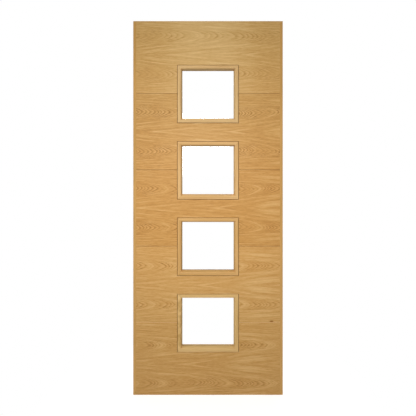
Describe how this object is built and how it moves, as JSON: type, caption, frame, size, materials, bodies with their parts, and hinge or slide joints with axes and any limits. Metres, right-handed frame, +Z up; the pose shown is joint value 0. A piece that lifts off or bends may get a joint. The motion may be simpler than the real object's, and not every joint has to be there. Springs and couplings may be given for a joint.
{
  "type": "glazed interior door leaf",
  "caption": "Flush oak-veneered interior door leaf with a column of clear glazed windows in mitred beads, level-grain panels with V-grooves and solid lipped long edges.",
  "frame": {"origin": "foot of the hinge edge, in the middle of the leaf's thickness, on the outer face of the left lipping", "axes": "+X from the hinge edge across the leaf, +Y through the leaf from front to back, +Z up"},
  "size_m": [0.813, 0.04, 2.032],
  "materials": {
    "oak_veneer": "satin lacquer on crown-cut oak veneer, grain level",
    "oak_lipping": "satin lacquer on solid oak, grain upright",
    "oak_bead": "satin lacquer on solid oak, grain along each strip",
    "laminated_core": "planed laminated softwood, bare at the head and foot",
    "clear_glass": "clear polished float glass"
  },
  "bodies": {
    "root": {"left_lipping": "oak_lipping", "left_stile": "laminated_core", "right_lipping": "oak_lipping", "right_stile": "laminated_core", "top_rail": "laminated_core", "upper_rail": "laminated_core", "middle_rail": "laminated_core", "lower_rail": "laminated_core", "bottom_rail": "laminated_core", "front_top_panel": "oak_veneer", "front_upper_panel": "oak_veneer", "front_middle_panel": "oak_veneer", "front_lower_panel": "oak_veneer", "front_bottom_panel": "oak_veneer", "back_top_panel": "oak_veneer", "back_upper_panel": "oak_veneer", "back_middle_panel": "oak_veneer", "back_lower_panel": "oak_veneer", "back_bottom_panel": "oak_veneer", "top_glass": "clear_glass", "top_front_side_beads": "oak_bead", "top_front_level_beads": "oak_bead", "top_back_side_beads": "oak_bead", "top_back_level_beads": "oak_bead", "upper_glass": "clear_glass", "upper_front_side_beads": "oak_bead", "upper_front_level_beads": "oak_bead", "upper_back_side_beads": "oak_bead", "upper_back_level_beads": "oak_bead", "lower_glass": "clear_glass", "lower_front_side_beads": "oak_bead", "lower_front_level_beads": "oak_bead", "lower_back_side_beads": "oak_bead", "lower_back_level_beads": "oak_bead", "bottom_glass": "clear_glass", "bottom_front_side_beads": "oak_bead", "bottom_front_level_beads": "oak_bead", "bottom_back_side_beads": "oak_bead", "bottom_back_level_beads": "oak_bead"}
  },
  "joints": []
}
